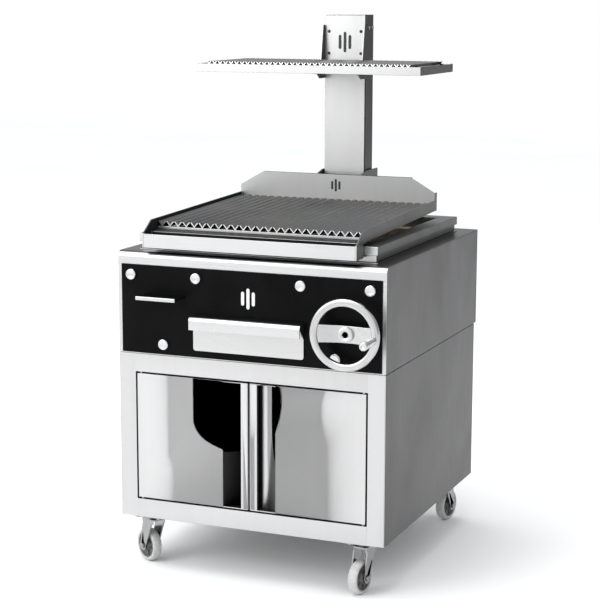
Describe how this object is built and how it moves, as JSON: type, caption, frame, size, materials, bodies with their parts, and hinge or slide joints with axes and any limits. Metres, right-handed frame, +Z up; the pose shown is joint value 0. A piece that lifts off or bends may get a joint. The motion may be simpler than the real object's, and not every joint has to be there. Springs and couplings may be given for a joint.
{
  "type": "charbroiler grill",
  "caption": "Charcoal charbroiler on a castor cabinet, with a crank-lifted sloping V-channel grate, drip trough, ash drawer, air damper and an upper rack on a rear column.",
  "frame": {"origin": "on the floor, below the middle of the object's bounding box", "axes": "+Z up, -Y towards the user (doors, drawer and handwheel), +X to the user's right"},
  "size_m": [0.75, 0.9134, 1.468],
  "materials": {
    "stainless_sheet": "fine linear grain, smooth food-grade",
    "stainless_grate": "bright bent sheet, slightly heat toned",
    "black_panel": "satin black enamel",
    "cap_steel": "turned faces with concentric grain",
    "cast_grate": "rough cast, heat darkened",
    "firebrick": "porous refractory brick",
    "screw_steel": "machined, oiled",
    "dark_screws": "blackened heads",
    "bronze_nut": "machined bronze",
    "slide_pad": "slippery plastic",
    "wheel_casting": "polished casting",
    "grip_steel": "polished turning",
    "zinc_fork": "bright zinc plate",
    "caster_tread": "moulded grey nylon"
  },
  "bodies": {
    "cabinet": {"lower_back": "stainless_sheet", "lower_floor": "stainless_sheet", "door_frame": "stainless_sheet", "middle_deck": "stainless_sheet", "upper_back": "stainless_sheet", "front_sheet": "stainless_sheet", "top_deck": "stainless_sheet", "front_panel": "black_panel", "panel_caps": "cap_steel", "firebox_surround": "stainless_sheet", "firebox_shell": "stainless_sheet", "brick_lining": "firebrick", "charcoal_grate": "cast_grate", "ash_chute": "stainless_sheet", "damper_guides": "stainless_sheet", "column_channel": "stainless_sheet", "column_cover": "stainless_sheet", "cover_screws": "dark_screws", "column_cap": "stainless_sheet", "column_foot": "stainless_sheet", "bracket_bolts": "screw_steel", "rack_frame": "stainless_grate", "rack_channels": "stainless_grate", "drive_bearings": "cast_grate", "caster_plates": "zinc_fork", "lower_sides": "stainless_sheet", "upper_sides": "stainless_sheet", "drawer_runners": "stainless_sheet", "rack_brackets": "stainless_sheet"},
    "grate_carriage": {"grate_frame": "stainless_grate", "grate_channels": "stainless_grate", "drip_trough": "stainless_sheet", "backsplash": "stainless_sheet", "lift_yoke": "stainless_sheet", "glide_pads": "slide_pad", "lift_crossbar": "stainless_sheet", "lift_nut": "bronze_nut"},
    "handwheel": {"handwheel": "wheel_casting", "crank_pin": "screw_steel", "wheel_shaft": "screw_steel", "shaft_gear": "screw_steel"},
    "crank_knob": {"crank_knob": "grip_steel"},
    "cross_shaft": {"cross_shaft": "screw_steel", "cross_gears": "screw_steel"},
    "lead_screw": {"lead_screw": "screw_steel", "screw_gear": "screw_steel"},
    "ash_drawer": {"drawer_front": "stainless_sheet", "ash_tray": "stainless_sheet"},
    "damper": {"damper_grip": "stainless_sheet", "damper_plate": "stainless_sheet"},
    "door_left": {"door_left": "stainless_sheet"},
    "door_right": {"door_right": "stainless_sheet"},
    "fork_front_left": {"caster_fork_front_left": "zinc_fork"},
    "wheel_front_left": {"caster_wheel_front_left": "caster_tread"},
    "fork_front_right": {"caster_fork_front_right": "zinc_fork"},
    "wheel_front_right": {"caster_wheel_front_right": "caster_tread"},
    "fork_rear_left": {"caster_fork_rear_left": "zinc_fork"},
    "wheel_rear_left": {"caster_wheel_rear_left": "caster_tread"},
    "fork_rear_right": {"caster_fork_rear_right": "zinc_fork"},
    "wheel_rear_right": {"caster_wheel_rear_right": "caster_tread"}
  },
  "joints": [
    {"name": "handwheel_turn", "type": "hinge", "parent": "cabinet", "child": "handwheel", "pos_m": [0.2825, -0.3205, 0.692], "axis": [0, 1, 0], "range_deg": [0, 3600]},
    {"name": "cross_shaft_turn", "type": "hinge", "parent": "cabinet", "child": "cross_shaft", "pos_m": [0.14, 0.3935, 0.692], "axis": [1, 0, 0], "range_deg": [-3600, 0]},
    {"name": "lead_screw_turn", "type": "hinge", "parent": "cabinet", "child": "lead_screw", "pos_m": [0, 0.3935, 0.692], "axis": [0, 0, 1], "range_deg": [-3600, 0]},
    {"name": "grate_lift", "type": "slide", "parent": "cabinet", "child": "grate_carriage", "axis": [0, 0, 1], "range_m": [0, 0.25]},
    {"name": "knob_turn", "type": "hinge", "parent": "handwheel", "child": "crank_knob", "pos_m": [0.3622, -0.4205, 0.68503], "axis": [0, 1, 0], "continuous": true},
    {"name": "drawer_slide", "type": "slide", "parent": "cabinet", "child": "ash_drawer", "axis": [0, -1, 0], "range_m": [0, 0.4]},
    {"name": "damper_slide", "type": "slide", "parent": "cabinet", "child": "damper", "axis": [0, 1, 0], "range_m": [0, 0.04]},
    {"name": "door_left_hinge", "type": "hinge", "parent": "cabinet", "child": "door_left", "pos_m": [-0.315, -0.3125, 0.3645], "axis": [0, 0, -1], "range_deg": [0, 110]},
    {"name": "door_right_hinge", "type": "hinge", "parent": "cabinet", "child": "door_right", "pos_m": [0.315, -0.3125, 0.3645], "axis": [0, 0, 1], "range_deg": [0, 110]},
    {"name": "swivel_front_left", "type": "hinge", "parent": "cabinet", "child": "fork_front_left", "pos_m": [-0.305, -0.2725, 0.13], "axis": [0, 0, 1], "continuous": true},
    {"name": "roll_front_left", "type": "hinge", "parent": "fork_front_left", "child": "wheel_front_left", "pos_m": [-0.32405, -0.2615, 0.045], "axis": [-0.5, -0.866, 0], "continuous": true},
    {"name": "swivel_front_right", "type": "hinge", "parent": "cabinet", "child": "fork_front_right", "pos_m": [0.305, -0.2725, 0.13], "axis": [0, 0, 1], "continuous": true},
    {"name": "roll_front_right", "type": "hinge", "parent": "fork_front_right", "child": "wheel_front_right", "pos_m": [0.30118, -0.29417, 0.045], "axis": [0.9848, -0.1736, 0], "continuous": true},
    {"name": "swivel_rear_left", "type": "hinge", "parent": "cabinet", "child": "fork_rear_left", "pos_m": [-0.305, 0.3905, 0.13], "axis": [0, 0, 1], "continuous": true},
    {"name": "roll_rear_left", "type": "hinge", "parent": "fork_rear_left", "child": "wheel_rear_left", "pos_m": [-0.30118, 0.41217, 0.045], "axis": [-0.9848, 0.1736, 0], "continuous": true},
    {"name": "swivel_rear_right", "type": "hinge", "parent": "cabinet", "child": "fork_rear_right", "pos_m": [0.305, 0.3905, 0.13], "axis": [0, 0, 1], "continuous": true},
    {"name": "roll_rear_right", "type": "hinge", "parent": "fork_rear_right", "child": "wheel_rear_right", "pos_m": [0.30882, 0.41217, 0.045], "axis": [-0.9848, 0.1736, 0], "continuous": true}
  ],
  "couplings": [
    {"joint": "cross_shaft_turn", "follows": "handwheel_turn", "ratio": -1},
    {"joint": "lead_screw_turn", "follows": "handwheel_turn", "ratio": -1},
    {"joint": "grate_lift", "follows": "handwheel_turn", "m_per_rad": 0.0039789}
  ]
}
